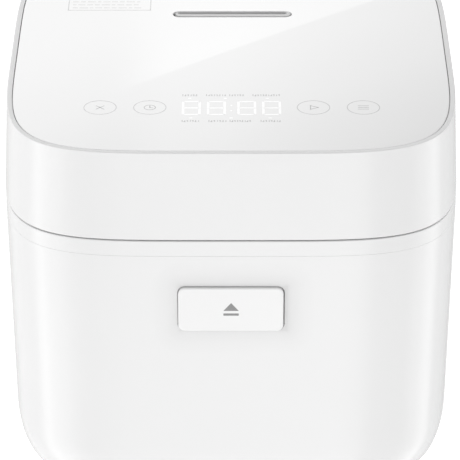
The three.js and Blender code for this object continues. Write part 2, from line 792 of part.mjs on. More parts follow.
const controls = new THREE.Group();
lid.add(controls);
const controlTop = CONTROL_BOARD.z + CONTROL_BOARD.thick;
const controlRun = [-CONTROL_BOARD.halfWide, CONTROL_BOARD.halfWide];
const controlBoard = block(controlRun, CONTROL_BOARD.y, [CONTROL_BOARD.z, controlTop]);
piece(controls, "control_board", controlBoard, CIRCUIT);
const displayRun = [-DISPLAY.halfWide, DISPLAY.halfWide];
const displayBlock = block(displayRun, DISPLAY.y, [controlTop + GAP, LID_DECK.topZ]);
piece(controls, "display_module", displayBlock, BLACK_PLASTIC);
KEY.xs.forEach((x, index) => {
  const pad = post(KEY.radius - 1.3, [controlTop + GAP, LID_DECK.topZ], [0, 0], 16);
  piece(controls, "touch_spring_" + (index + 1), pad, STEEL, [x, KEY.y, 0]);
});

export default cooker;
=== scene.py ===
import math
from functools import partial

import bmesh
import bpy
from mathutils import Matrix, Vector


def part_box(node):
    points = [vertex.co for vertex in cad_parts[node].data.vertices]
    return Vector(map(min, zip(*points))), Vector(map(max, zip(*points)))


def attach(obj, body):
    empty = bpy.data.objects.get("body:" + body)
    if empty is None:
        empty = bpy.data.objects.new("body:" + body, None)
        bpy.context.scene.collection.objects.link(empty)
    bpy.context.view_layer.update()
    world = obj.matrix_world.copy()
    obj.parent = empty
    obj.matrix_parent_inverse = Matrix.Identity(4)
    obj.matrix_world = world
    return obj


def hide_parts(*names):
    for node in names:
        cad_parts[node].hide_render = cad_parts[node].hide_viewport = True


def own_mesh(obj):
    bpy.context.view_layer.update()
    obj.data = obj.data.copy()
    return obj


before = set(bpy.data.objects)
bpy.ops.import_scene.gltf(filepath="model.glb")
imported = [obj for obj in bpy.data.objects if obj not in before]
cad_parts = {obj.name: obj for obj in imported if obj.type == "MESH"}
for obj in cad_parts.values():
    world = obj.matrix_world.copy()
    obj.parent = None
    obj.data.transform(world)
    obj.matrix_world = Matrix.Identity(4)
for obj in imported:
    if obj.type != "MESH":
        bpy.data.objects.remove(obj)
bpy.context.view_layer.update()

MM = 0.001

# ---- dimensions, in millimetres


def box_mm(node):
    low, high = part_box(node)
    return low / MM, high / MM


SHELL_LOW, SHELL_HIGH = box_mm("body_shell")
PANEL_LOW, PANEL_HIGH = box_mm("touch_panel")
LID_HIGH = box_mm("lid_shell")[1]
BUTTON_LOW, BUTTON_HIGH = box_mm("release_button")
STEAM_LOW, STEAM_HIGH = box_mm("steam_outlet")
POT_LOW = box_mm("inner_pot")[0]
INLET_LOW, INLET_HIGH = box_mm("power_inlet")
COVER_HIGH = box_mm("base_cover")[1]
HINGE_PIN_LOW, HINGE_PIN_HIGH = box_mm("hinge_pin")

# The outline is a superellipse. Its exponent is the squareness, and DRAFT is the walls' lean.
FULL_HALF = LID_HIGH.x
PLAN_Y = (PANEL_LOW.y + PANEL_HIGH.y) / 2
DEPTH_EXTRA = (PANEL_HIGH.y - PANEL_LOW.y) / 2 - PANEL_HIGH.x
SQUARENESS = 4.87
PANEL_SQUARENESS = 5.09
PLAN_SEGMENTS = 288
DRAFT = 0.022
WALL = 2.6

FOOT_HEIGHT = SHELL_LOW.z
FRAME_Z = SHELL_HIGH.z
FLOOR_TOP, FLOOR_UNDER = 9.4, 6.8
SEAM_Z = FRAME_Z + 9
TOP_Z = LID_HIGH.z
LID_WALL_TOP = 116
GROOVE = 0.32
PANEL_HALF = PANEL_HIGH.x
PANEL_Z = PANEL_HIGH.z
PANEL_SEAT_Z = TOP_Z - 2.6
PANEL_SEAT_UNDER = TOP_Z - 4.7
DECK_Z = 152.6
DECK_UNDER = DECK_Z - 2.3
POT_OPENING = 102.6

HINGE_Y = (HINGE_PIN_LOW.y + HINGE_PIN_HIGH.y) / 2
HINGE_Z = (HINGE_PIN_LOW.z + HINGE_PIN_HIGH.z) / 2
HINGE_R = 5.5
LID_KNUCKLE = 30
BODY_KNUCKLE = 58

BUTTON_Z = (BUTTON_LOW.z + BUTTON_HIGH.z) / 2
CAP_WIDE, CAP_TALL = 53.5, 24.4
WINDOW_WIDE, WINDOW_TALL = 54.4, 25.7
BUTTON_TRAVEL = 3

INLET_X = (INLET_LOW.x + INLET_HIGH.x) / 2
INLET_Z = (INLET_LOW.z + INLET_HIGH.z) / 2
STEAM_Y = (STEAM_LOW.y + STEAM_HIGH.y) / 2

KEY_R = 8.5
KEY_XS = (-66.9, -41.5, 42.1, 67.6)
KEY_Y = PLAN_Y - 73.5
PRINT_LOW, PRINT_HIGH = PANEL_Z - 0.05, PANEL_Z + 0.035

COIL_STEPS = 28
WIRE_SIDES = 10
MARK_STEP = 9.5

# ---- mesh helpers


def signed_power(value, power):
    return 0.0 if abs(value) < 1e-9 else math.copysign(abs(value) ** power, value)


def new_object(name, verts, faces):
    """A mesh from points in millimetres of the row frame."""
    mesh = bpy.data.meshes.new(name)
    mesh.from_pydata([tuple(c * MM for c in v) for v in verts], [], faces)
    obj = bpy.data.objects.new(name, mesh)
    bpy.context.scene.collection.objects.link(obj)
    bm = bmesh.new()
    bm.from_mesh(mesh)
    bmesh.ops.remove_doubles(bm, verts=bm.verts, dist=1e-7)
    bmesh.ops.recalc_face_normals(bm, faces=bm.faces)
    bm.to_mesh(mesh)
    bm.free()
    return obj


def soft(points, steps=4):
    """Rounds the corners of a closed profile. A point is (across, up, radius, extra values)."""
    out = []
    count = len(points)
    for i, (x, z, radius, *extra) in enumerate(points):
        here = Vector((x, z))
        to_last = Vector(points[i - 1][:2]) - here
        to_next = Vector(points[(i + 1) % count][:2]) - here
        if radius <= 0:
            out.append((x, z, *extra))
            continue
        a, b = to_last.normalized(), to_next.normalized()
        half_angle = a.angle(b) / 2
        reach = min(radius / math.tan(half_angle), to_last.length * 0.49, to_next.length * 0.49)
        start, end = here + a * reach, here + b * reach
        for step in range(steps + 1):
            t = step / steps
            out.append((*(start * (1 - t) ** 2 + here * 2 * t * (1 - t) + end * t**2), *extra))
    return out


def turned(name, profile, centre=(0, None), segments=128, plan=None):
    """A closed profile of (radius, z) turned about Z, or stretched by plan(angle, radius, ...)."""
    cx, cy = centre[0], PLAN_Y if centre[1] is None else centre[1]
    count = len(profile)
    verts, faces = [], []
    for i in range(segments):
        angle = 2 * math.pi * i / segments
        for radius, z, *extra in profile:
            if plan:
                x, y = plan(angle, radius, *extra)
            else:
                x, y = radius * math.sin(angle), -radius * math.cos(angle)
            verts.append((cx + x, cy + y, z))
    for i in range(segments):
        following = (i + 1) % segments
        for j in range(count):
            k = (j + 1) % count
            ends_on_axis = profile[j][0] == 0 and profile[k][0] == 0
            if ends_on_axis:
                continue
            corners = [i * count + j, following * count + j, following * count + k, i * count + k]
            if profile[j][0] == 0:
                corners = [i * count + j, following * count + k, i * count + k]
            elif profile[k][0] == 0:
                corners = [i * count + j, following * count + j, i * count + k]
            faces.append(corners)
    return new_object(name, verts, faces)


def drill(radius, low, high, at=(0, None), segments=128):
    """An upright round cutter."""
    return turned("hole", [(0, low), (radius, low), (radius, high), (0, high)], at, segments)


def square_plan(angle, half, squareness=SQUARENESS):
    if half == 0:
        return 0.0, 0.0
    power = 2 / squareness
    x = half * signed_power(math.sin(angle), power)
    return x, -(half + DEPTH_EXTRA) * signed_power(math.cos(angle), power)


def square_turned(name, profile, segments=PLAN_SEGMENTS):
    """A profile of (half width, z, squareness) stretched to the cooker's rounded-square plan."""
    return turned(name, profile, (0, PLAN_Y), segments, square_plan)


def square_plate(half, low, high):
    return square_turned("plate", [(0, low), (half, low), (half, high), (0, high)])


def rounded_outline(wide, tall, corner, steps=10):
    """Points round a rounded rectangle centred on the origin."""
    points = []
    for cx, cy, start in (
        (wide / 2 - corner, -tall / 2 + corner, -90), (wide / 2 - corner, tall / 2 - corner, 0),
        (-wide / 2 + corner, tall / 2 - corner, 90),
        (-wide / 2 + corner, -tall / 2 + corner, 180),
    ):
        for step in range(steps + 1):
            angle = math.radians(start + 90 * step / steps)
            points.append((cx + corner * math.cos(angle), cy + corner * math.sin(angle)))
    return points


def loft(name, rings, place, capped=True):
    """Joins rings of (u, v, depth) points. place turns one into a row-frame point."""
    count = len(rings[0])
    verts = [place(*point) for ring in rings for point in ring]
    faces = []
    for level in range(len(rings) - 1):
        low, high = level * count, (level + 1) * count
        for i in range(count):
            j = (i + 1) % count
            faces.append([low + i, low + j, high + j, high + i])
    if capped:
        faces.append(list(range(count))[::-1])
        faces.append([(len(rings) - 1) * count + i for i in range(count)])
    return new_object(name, verts, faces)


def pillow(name, wide, tall, corner, depths, place, edge=0.6, far_edge=0.0, steps=10):
    """A rounded-rectangle block with a rolled edge at its first depth, and another at its last."""
    rings = []
    near, far = depths
    sign = 1 if far > near else -1

    def ring(inset, depth):
        tighter = max(corner - inset, 0.05)
        outline = rounded_outline(wide - 2 * inset, tall - 2 * inset, tighter, steps)
        return [(u, v, depth) for u, v in outline]

    for step in range(6):
        angle = math.pi / 2 * step / 5
        rings.append(ring(edge * (1 - math.sin(angle)), near + sign * edge * (1 - math.cos(angle))))
    if far_edge:
        for step in range(6):
            angle = math.pi / 2 * step / 5
            depth = far - sign * far_edge * (1 - math.sin(angle))
            rings.append(ring(far_edge * (1 - math.cos(angle)), depth))
    else:
        rings.append(ring(0, far))
    return loft(name, rings, place)


def facing_up(x, y):
    """A place for pillow and loft: the outline lies level, centred on x and y."""
    return lambda u, v, depth: (x + u, y + v, depth)


def facing_front(x, z):
    """A place for pillow and loft: the outline stands upright, facing the front or the back."""
    return lambda u, v, depth: (x + u, depth, z + v)


def rod_x(name, radius, x0, x1, y, z, edge=0.5, segments=48):
    """A round bar along X with eased ends."""
    rings = []
    for x, inset in (
        (x0, edge), (x0 + edge * 0.3, edge * 0.3), (x0 + edge, 0), (x1 - edge, 0),
        (x1 - edge * 0.3, edge * 0.3), (x1, edge),
    ):
        ring = []
        for i in range(segments):
            angle = 2 * math.pi * i / segments
            reach = radius - inset
            ring.append((reach * math.cos(angle), reach * math.sin(angle), x))
        rings.append(ring)
    return loft(name, rings, lambda u, v, depth: (depth, y + u, z + v))


def block(name, xs, ys, zs):
    corners = [(x, y, z) for z in zs for y in ys for x in xs]
    faces = [(0, 2, 3, 1), (4, 5, 7, 6), (0, 1, 5, 4), (2, 6, 7, 3), (0, 4, 6, 2), (1, 3, 7, 5)]
    return new_object(name, corners, faces)


def apply_modifiers(obj):
    depsgraph = bpy.context.evaluated_depsgraph_get()
    mesh = bpy.data.meshes.new_from_object(obj.evaluated_get(depsgraph))
    obj.modifiers.clear()
    old = obj.data
    obj.data = mesh
    mesh.name = obj.name
    bpy.data.meshes.remove(old)
    return obj


def boolean(obj, operation, others):
    for other in others:
        modifier = obj.modifiers.new("cut", "BOOLEAN")
        modifier.operation = operation
        modifier.solver = "EXACT"
        modifier.object = other
    apply_modifiers(obj)
    for other in others:
        bpy.data.objects.remove(other)
    return obj


def carve(obj, *others):
    return boolean(obj, "DIFFERENCE", others)


def weld(obj, *others):
    return boolean(obj, "UNION", others)


def join(name, parts):
    """Several meshes as one object, such as the strokes of a printed mark."""
    bm = bmesh.new()
    for part in parts:
        bm.from_mesh(part.data)
        bpy.data.objects.remove(part)
    mesh = bpy.data.meshes.new(name)
    bm.to_mesh(mesh)
    bm.free()
    obj = bpy.data.objects.new(name, mesh)
    bpy.context.scene.collection.objects.link(obj)
    return obj


def smooth(obj, angle=32):
    """Smooth shading that stays crisp at edges sharper than angle, with flat faces kept flat."""
    bm = bmesh.new()
    bm.from_mesh(obj.data)
    limit = math.radians(angle)
    for edge in bm.edges:
        edge.smooth = len(edge.link_faces) == 2 and edge.calc_face_angle(0.0) < limit
    for face in bm.faces:
        face.smooth = True
    bm.to_mesh(obj.data)
    bm.free()
    modifier = obj.modifiers.new("normals", "WEIGHTED_NORMAL")
    modifier.keep_sharp = True
    modifier.weight = 60
    return apply_modifiers(obj)


# ---- node helpers


def node_math(tree, operation, *values):
    node = tree.nodes.new("ShaderNodeMath")
    node.operation = operation
    for socket, value in zip(node.inputs, values):
        if isinstance(value, (int, float)):
            socket.default_value = value
        else:
            tree.links.new(value, socket)
    return node.outputs[0]


def node_ramp(tree, source, low, high, stops, smooth=True):
    """Maps a number from low..high through (place, value) stops."""
    place = tree.nodes.new("ShaderNodeMapRange")
    place.inputs["From Min"].default_value = low
    place.inputs["From Max"].default_value = high
    tree.links.new(source, place.inputs["Value"])
    ramp = tree.nodes.new("ShaderNodeValToRGB")
    ramp.color_ramp.interpolation = "EASE" if smooth else "LINEAR"
    elements = ramp.color_ramp.elements
    while len(elements) < len(stops):
        elements.new(0.5)
    for element, (where, value) in zip(elements, stops):
        element.position = (where - low) / (high - low)
        element.color = (value, value, value, 1.0)
    tree.links.new(place.outputs["Result"], ramp.inputs["Fac"])
    return ramp.outputs["Color"]


def node_mix(tree, factor, a, b, blend="MIX"):
    mix = tree.nodes.new("ShaderNodeMix")
    mix.data_type = "RGBA"
    mix.blend_type = blend
    for name, value in zip(("Factor", "A", "B"), (factor, a, b)):
        socket = [i for i in mix.inputs if i.name == name and i.enabled][0]
        if isinstance(value, (int, float)):
            socket.default_value = value
        else:
            tree.links.new(value, socket)
    return [o for o in mix.outputs if o.enabled][0]


# ---- materials


def srgb(value):
    return value / 12.92 if value <= 0.04045 else ((value + 0.055) / 1.055) ** 2.4


def grey(level, tint=(0, 0, 0)):
    """A colour from a 0 to 255 grey level, with a small tint per channel."""
    return tuple(srgb((level + t) / 255) for t in tint) + (1.0,)


class Graph:
    """Adds nodes to a material, and links them by socket name."""

    def __init__(self, name):
        self.material = bpy.data.materials.new(name)
        self.material.use_nodes = True
        self.nodes = self.material.node_tree.nodes
        self.links = self.material.node_tree.links
        self.shader = self.nodes["Principled BSDF"]
        coordinates = self.nodes.new("ShaderNodeTexCoord")
        self.where = coordinates.outputs["Object"]

    def set(self, **values):
        for key, value in values.items():
            self.shader.inputs[key.replace("_", " ")].default_value = value

    def noise(self, scale, detail=3.0, roughness=0.5, stretch=None):
        node = self.nodes.new("ShaderNodeTexNoise")
        node.inputs["Scale"].default_value = scale
        node.inputs["Detail"].default_value = detail
        node.inputs["Roughness"].default_value = roughness
        where = self.where
        if stretch:
            mapping = self.nodes.new("ShaderNodeMapping")
            mapping.inputs["Scale"].default_value = stretch
            self.links.new(where, mapping.inputs["Vector"])
            where = mapping.outputs["Vector"]
        self.links.new(where, node.inputs["Vector"])
        return node.outputs["Fac"]

    def speckle(self, scale, size):
        node = self.nodes.new("ShaderNodeTexVoronoi")
        node.inputs["Scale"].default_value = scale
        self.links.new(self.where, node.inputs["Vector"])
        return self.ramp(node.outputs["Distance"], [(0.0, 1.0), (size, 0.0)])

    def ramp(self, source, stops):
        """A ramp whose stops are (place, value), where a value is a number or a colour."""
        node = self.nodes.new("ShaderNodeValToRGB")
        elements = node.color_ramp.elements
        while len(elements) < len(stops):
            elements.new(0.5)
        for element, (place, value) in zip(elements, stops):
            element.position = place
            element.color = value if isinstance(value, tuple) else (value, value, value, 1.0)
        self.links.new(source, node.inputs["Fac"])
        return node.outputs["Color"]

    def colour(self, source, stops):
        self.links.new(self.ramp(source, stops), self.shader.inputs["Base Color"])

    def tones(self, source, low, high, tint=(0, 0, 0), ends=(0.3, 0.7)):
        """Goes from one grey level to another as source goes from end to end."""
        self.colour(source, [(ends[0], grey(low, tint)), (ends[1], grey(high, tint))])

    def rough(self, source, low, high, ends=(0.3, 0.7)):
        stops = [(ends[0], low), (ends[1], high)]
        self.links.new(self.ramp(source, stops), self.shader.inputs["Roughness"])

    def bump(self, source, depth_mm, strength=1.0):
        node = self.nodes.new("ShaderNodeBump")
        node.inputs["Distance"].default_value = depth_mm * MM
        node.inputs["Strength"].default_value = strength
        self.links.new(source, node.inputs["Height"])
        earlier = self.shader.inputs["Normal"].links
        if earlier:
            self.links.new(earlier[0].from_socket, node.inputs["Normal"])
        self.links.new(node.outputs["Normal"], self.shader.inputs["Normal"])


def moulded_white(name, level, roughness, coat=0.0):
    """Satin white ABS: a faint drift of tone, a fine moulded grain and slow waves in the gloss."""
    g = Graph(name)
    g.set(IOR=1.5, Coat_Weight=coat, Coat_Roughness=0.08)
    g.tones(g.noise(9, 2), level - 1.2, level + 0.8)
    g.rough(g.noise(35, 4), roughness - 0.03, roughness + 0.04, ends=(0.25, 0.75))
    g.bump(g.noise(2600, 2), 0.004, 0.5)
    g.bump(g.noise(22, 1), 0.02, 0.25)
    return g.material


def gloss_white(name, level):
    """Clear acrylic over white: mirror-smooth, with a very slight moulding wave."""
    g = Graph(name)
    g.set(IOR=1.49, Coat_Weight=0.6, Coat_Roughness=0.002)
    g.tones(g.noise(6, 2), level - 0.8, level + 0.5)
    g.rough(g.noise(60, 3), 0.002, 0.007)
    g.bump(g.noise(9, 1), 0.006, 0.1)
    return g.material


def printed(name, level, glow=0.0):
    """Ink under the gloss of the panel, slightly uneven like a screen print."""
    g = Graph(name)
    g.set(IOR=1.49, Coat_Weight=0.6, Coat_Roughness=0.015)
    g.tones(g.noise(900, 3), level - 4, level + 3)
    g.rough(g.noise(400, 2), 0.05, 0.1)
    if glow:
        g.set(Emission_Color=(1, 1, 1, 1), Emission_Strength=glow)
    return g.material


def textured_plastic(name, level, roughness, tint=(0, 0, 0), grain=0.03):
    """Spark-eroded matt plastic, with a grain of about a third of a millimetre."""
    g = Graph(name)
    g.set(IOR=1.46)
    g.tones(g.noise(14, 4), level - 3, level + 3, tint)
    g.rough(g.noise(700, 3), roughness - 0.08, roughness + 0.08)
    g.bump(g.noise(1800, 3, 0.6), grain, 0.7)
    return g.material


def elastomer(name, level, roughness, tint=(0, 0, 0)):
    """Rubber or silicone, with a dry and slightly uneven skin."""
    g = Graph(name)
    g.set(IOR=1.42)
    g.tones(g.noise(40, 4), level - 4, level + 4, tint)
    g.rough(g.noise(500, 3), roughness - 0.07, roughness + 0.07)
    g.bump(g.noise(1500, 3), 0.02, 0.5)
    return g.material


def metal(name, level, roughness, tint=(0, 0, 0), brush=None):
    """Bare metal. brush stretches the grain, as a mapping scale, into drawn or rolled lines."""
    g = Graph(name)
    g.set(Metallic=1.0)
    g.tones(g.noise(30, 5), level - 7, level + 5, tint)
    lines = g.noise(900, 4, 0.6, brush or (1, 1, 1))
    g.rough(lines, roughness - 0.08, roughness + 0.1, ends=(0.25, 0.75))
    g.bump(lines, 0.012, 0.5)
    return g.material


def turned_metal(name, level, roughness, centre):
    """Spun metal, with fine rings about a vertical axis."""
    g = Graph(name)
    g.set(Metallic=1.0)
    mapping = g.nodes.new("ShaderNodeMapping")
    mapping.inputs["Location"].default_value = [-c for c in centre]
    g.links.new(g.where, mapping.inputs["Vector"])
    rings = g.nodes.new("ShaderNodeTexWave")
    rings.wave_type = "RINGS"
    rings.rings_direction = "Z"
    rings.inputs["Scale"].default_value = 420
    rings.inputs["Distortion"].default_value = 1.5
    rings.inputs["Detail"].default_value = 3
    g.links.new(mapping.outputs["Vector"], rings.inputs["Vector"])
    g.tones(g.noise(18, 5), level - 8, level + 6)
    g.rough(rings.outputs["Fac"], roughness - 0.05, roughness + 0.08, ends=(0.0, 1.0))
    g.bump(rings.outputs["Fac"], 0.006, 0.5)
    return g.material


def nonstick(name, level, roughness):
    """Dark ceramic-filled coating: a fine pale fleck over near-black, with an orange-peel skin."""
    g = Graph(name)
    g.set(IOR=1.5, Coat_Weight=0.15, Coat_Roughness=0.25)
    fleck = g.speckle(520, 0.16)
    g.tones(fleck, level, level + 62, ends=(0.2, 0.9))
    g.rough(g.noise(350, 3), roughness - 0.06, roughness + 0.08)
    g.bump(g.noise(650, 3), 0.015, 0.6)
    return g.material


def braid(name, level):
    """The woven glass sleeve of a lead."""
    g = Graph(name)
    wave = g.nodes.new("ShaderNodeTexWave")
    wave.inputs["Scale"].default_value = 900
    wave.inputs["Distortion"].default_value = 2
    g.links.new(g.where, wave.inputs["Vector"])
    g.tones(wave.outputs["Fac"], level - 22, level + 6, ends=(0.1, 0.9))
    g.rough(g.noise(600, 3), 0.6, 0.85)
    g.bump(wave.outputs["Fac"], 0.08, 0.7)
    return g.material


def circuit(name):
    """Solder mask over copper, with pads here and there."""
    mask, pad = (0.012, 0.09, 0.045, 1.0), (0.42, 0.4, 0.34, 1.0)
    g = Graph(name)
    g.set(IOR=1.5)
    g.colour(g.speckle(260, 0.22), [(0.35, mask), (0.6, pad)])
    g.rough(g.noise(300, 3), 0.25, 0.45)
    g.bump(g.noise(450, 4), 0.03, 0.5)
    return g.material


SHELL_LEVEL = 243
WHITE_SHELL = moulded_white("white_shell", SHELL_LEVEL, 0.2, 0.5)
WHITE_LID = moulded_white("white_lid", SHELL_LEVEL, 0.2, 0.5)
WHITE_BUTTON = moulded_white("white_button", SHELL_LEVEL + 5, 0.24, 0.3)
WHITE_FRAME = moulded_white("white_frame", SHELL_LEVEL, 0.2, 0.5)
WHITE_TRIM = moulded_white("white_trim", 218, 0.32)
RIM_GREY = moulded_white("rim_grey", 239, 0.42)
PANEL_GLOSS = gloss_white("panel_gloss", 244)
PRINT_GREY = printed("print_grey", 206)
PRINT_DIM = printed("print_dim", 190)
DISPLAY_WHITE = printed("display_white", 254, 0.12)
MARK_GREY = printed("mark_grey", 150)
BUTTON_MARK = printed("button_mark", 148)
GREY_PLASTIC = textured_plastic("grey_plastic", 206, 0.5)
LINER_PLASTIC = textured_plastic("liner_plastic", 214, 0.42, grain=0.015)
BLACK_PLASTIC = textured_plastic("black_plastic", 42, 0.5)
FOOT_RUBBER = elastomer("foot_rubber", 70, 0.75)
SILICONE = elastomer("silicone", 216, 0.4, (0, 0, -3))
CAST_ALUMINIUM = turned_metal("cast_aluminium", 196, 0.38, (0, PLAN_Y * MM, 0))
SPUN_ALUMINIUM = turned_metal("spun_aluminium", 214, 0.26, (0, PLAN_Y * MM, 0))
STEEL = metal("plated_steel", 190, 0.28, brush=(1, 12, 1))
BRASS = metal("plated_brass", 205, 0.25, (0, -18, -60), brush=(1, 10, 1))
POT_COATING = nonstick("pot_coating", 44, 0.34)
BOARD_GREEN = circuit("board_green")
SLEEVE = braid("glass_sleeve", 226)

# ---- placing pieces


def dress(obj, material, body, replaces=()):
    obj.data.materials.clear()
    obj.data.materials.append(material)
    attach(obj, body)
    if replaces:
        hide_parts(*replaces)
    return obj


def body_half(z):
    """Half the body's outside width at a height."""
    return FULL_HALF - DRAFT * (SEAM_Z - z)


# ---- body

# Painted shadow round the button: distance in mm from the button's window, and the share of the
# wall's tone left there.
BUTTON_PAINTED_SHADOW = (
    (0.0, 0.831), (0.5, 0.879), (1.6, 0.918), (2.6, 0.933), (3.7, 0.943), (4.7, 0.949),
    (5.7, 0.959), (6.7, 0.969), (8.8, 0.979), (11.7, 0.9895), (14.0, 1.0),
)
# The painted shadow's middle lies this far right of the window, as if light came from the left.
BUTTON_PAINTED_SHADOW_SHIFT = 1.3


def bottom_curve(inset, steps=14):
    """The soft rounding from the floor of the shell up into its side, as (half width, z)."""
    wide, tall = 14, 30
    top = FOOT_HEIGHT + tall
    half = body_half(top) - wide
    points = []
    for step in range(steps + 1):
        angle = math.pi / 2 * step / steps
        points.append((half + wide * math.sin(angle) - inset, top - tall * math.cos(angle)))
    return points


def shade_round_window(material):
    """Paints a soft shadow into the front wall's colour round the button's window, by the distance
    from it.
    """
    tree = material.node_tree
    calc = partial(node_math, tree)
    colour = tree.nodes["Principled BSDF"].inputs["Base Color"]
    coordinates = tree.nodes.new("ShaderNodeTexCoord")
    place = tree.nodes.new("ShaderNodeSeparateXYZ")
    tree.links.new(coordinates.outputs["Object"], place.inputs[0])
    squares = []
    for output, middle, size in (("X", BUTTON_PAINTED_SHADOW_SHIFT, WINDOW_WIDE), ("Z", BUTTON_Z, WINDOW_TALL)):
        offset = calc("SUBTRACT", place.outputs[output], middle * MM)
        past = calc("SUBTRACT", calc("ABSOLUTE", offset), size / 2 * MM)
        squares.append(calc("POWER", calc("MAXIMUM", past, 0.0), 2.0))
    distance = calc("SQRT", calc("ADD", *squares))
    # Anything behind the front wall counts as a metre away.
    behind = calc("GREATER_THAN", place.outputs["Y"], (PLAN_Y - 100) * MM)
    reach = calc("ADD", distance, behind)
    stops = [(far * MM, tone) for far, tone in BUTTON_PAINTED_SHADOW]
    tone = node_ramp(tree, reach, 0.0, stops[-1][0], stops, smooth=False)
    # Multiplying the ramp into the base colour paints the shadow onto the wall.
    shaded = node_mix(tree, 1.0, colour.links[0].from_socket, tone, "MULTIPLY")
    tree.links.new(shaded, colour)


def make_body_shell():
    top = body_half(FRAME_Z)
    outer = bottom_curve(0)
    rim = soft([
        (top - 0.09, FRAME_Z - 4, 0), (top, FRAME_Z - 0.02, 0.09),
        (top - WALL, FRAME_Z - 0.02, 0.3), (top - WALL, FRAME_Z - 4, 0),
    ])
    inner = [(half, max(z, FLOOR_TOP)) for half, z in reversed(bottom_curve(WALL)[2:])]
    hole, seat = 90, 99.4
    floor = [(hole, FLOOR_TOP), (hole, FLOOR_UNDER), (seat, FLOOR_UNDER), (seat, FOOT_HEIGHT + 0.3)]
    shell = square_turned("body_shell_skin", outer + rim + inner + floor)
    pad_y = PLAN_Y + 128.3
    pad_place = facing_front(INLET_X, INLET_Z)
    pad = pillow("pad", 38, 28, 4, (pad_y, pad_y - 6), pad_place, edge=1.0)
    depths = (PLAN_Y - 135, PLAN_Y - 110)
    place = facing_front(0, BUTTON_Z)
    window = pillow("window", WINDOW_WIDE, WINDOW_TALL, 3.8, depths, place, edge=0.01)
    xs, zs = (INLET_X - 14.2, INLET_X + 14.2), (INLET_Z - 10.8, INLET_Z + 10.8)
    socket = block("socket", xs, (PLAN_Y + 115, PLAN_Y + 135), zs)
    weld(shell, pad)
    carve(shell, window, socket)
    shade_round_window(WHITE_SHELL)
    return dress(smooth(shell), WHITE_SHELL, "base", ["body_shell"])


def hinge_trough(x0, x1):
    """The clearance cut round a stretch of the hinge's barrel."""
    return rod_x("trough", HINGE_R + 0.45, x0, x1, HINGE_Y, HINGE_Z, 0.01)


def make_upper_frame():
    """The band between shell and lid, with the deck round the pot opening and the rear knuckles."""
    low, high = body_half(FRAME_Z), FULL_HALF
    profile = soft([
        (low - WALL - 2.3, FRAME_Z - 5.8, 0.3), (low - WALL - 0.4, FRAME_Z - 5.8, 0.3),
        (low - WALL - 0.4, FRAME_Z + 0.03, 0), (low - 0.02, FRAME_Z + 0.03, 0.09),
        (high - 0.25, SEAM_Z - 0.65, 0.5), (high - 2.7, SEAM_Z - 0.65, 0.5),
        (high - 3.1, DECK_Z, 0.6), (high - 12, DECK_Z, 0), (high - 12, DECK_UNDER, 0),
        (low - WALL - 2.3, DECK_UNDER, 0.3),
    ])
    band = square_turned("upper_frame_skin", profile)
    deck = square_plate(high - 11, DECK_UNDER, DECK_Z)
    opening = drill(POT_OPENING, 140, 160)
    latch_slot = block("slot", (-9.5, 9.5), (PLAN_Y - 120.5, PLAN_Y - 110), (140, 160))
    trough = hinge_trough(-LID_KNUCKLE - 0.5, LID_KNUCKLE + 0.5)
    knuckles = []
    for side in (-1, 1):
        ends = sorted((side * (LID_KNUCKLE + 0.9), side * BODY_KNUCKLE))
        knuckles.append(rod_x("knuckle", HINGE_R, *ends, HINGE_Y, HINGE_Z))
        knuckles.append(block("web", ends, (HINGE_Y - 5.4, HINGE_Y), (149.6, SEAM_Z - 0.5)))
    carve(weld(band, deck), opening)
    weld(band, *knuckles)
    carve(band, latch_slot, trough)
    return dress(smooth(band), WHITE_FRAME, "base", ["upper_frame"])


def make_pot_collar():
    """The raised lip of the frame that the pot's flange sits over."""
    profile = soft([
        (POT_OPENING - 0.1, DECK_Z - 1.8, 0.2), (POT_OPENING + 2.2, DECK_Z - 1.8, 0),
        (POT_OPENING + 2.2, DECK_Z + 0.1, 0), (POT_OPENING + 1.6, DECK_Z + 0.3, 0.2),
        (POT_OPENING - 0.1, DECK_Z + 0.3, 0.2),
    ])
    collar = turned("pot_collar", profile)
    return dress(smooth(collar), STEEL, "base")


def make_base():
    x_screw, y_screw = 80, 92
    half = COVER_HIGH.x
    profile = soft([(0, 4.2, 0), (half, 4.2, 0.6), (half, 6.5, 0.2), (0, 6.5, 0)])
    cover = square_turned("base_cover_skin", profile, segments=144)
    cuts = []
    for row in (-36, 36):
        for i in range(9):
            place = facing_up(-52 + 8 * i, PLAN_Y + row)
            cuts.append(pillow("vent", 3, 36, 1.49, (0, 12), place, edge=0.01, steps=4))
    for i in (-1, 1):
        for j in (-1, 1):
            at = (i * x_screw, PLAN_Y + j * y_screw)
            cuts.append(drill(3.6, 0, 5.4, at, 32))
    carve(cover, *cuts)
    dress(smooth(cover), GREY_PLASTIC, "base", ["base_cover"])
    for corner in ("front_left", "front_right", "rear_left", "rear_right"):
        low, high = box_mm("foot_" + corner)
        at = ((low.x + high.x) / 2, (low.y + high.y) / 2)
        profile = soft(
            [(0, 0.5, 0), (6.2, 0.5, 0.4), (6.6, 0, 0.3), (8.7, 0, 0.9), (9, 3.9, 0.5), (0, 3.9, 0)]
        )
        foot = turned("foot_skin_" + corner, profile, at, 64)
        dress(smooth(foot), FOOT_RUBBER, "base", ["foot_" + corner])


def make_inlet():
    """A three-pin appliance inlet: a flange on a case, open at the back to its pins."""
    face, end = INLET_HIGH.y, INLET_LOW.y
    place = facing_front(INLET_X, INLET_Z)
    flange = pillow("power_inlet_skin", 34, 25, 3, (face, face - 1.8), place, edge=0.5)
    case = pillow("case", 27.6, 20.8, 1.5, (face - 1, end), place, edge=0.1)
    recess = pillow("recess", 24.4, 17.6, 2.5, (face + 2, end + 5), place, edge=0.01)
    weld(flange, case)
    carve(flange, recess)
    dress(smooth(flange), BLACK_PLASTIC, "base", ["power_inlet"])


# ---- latch


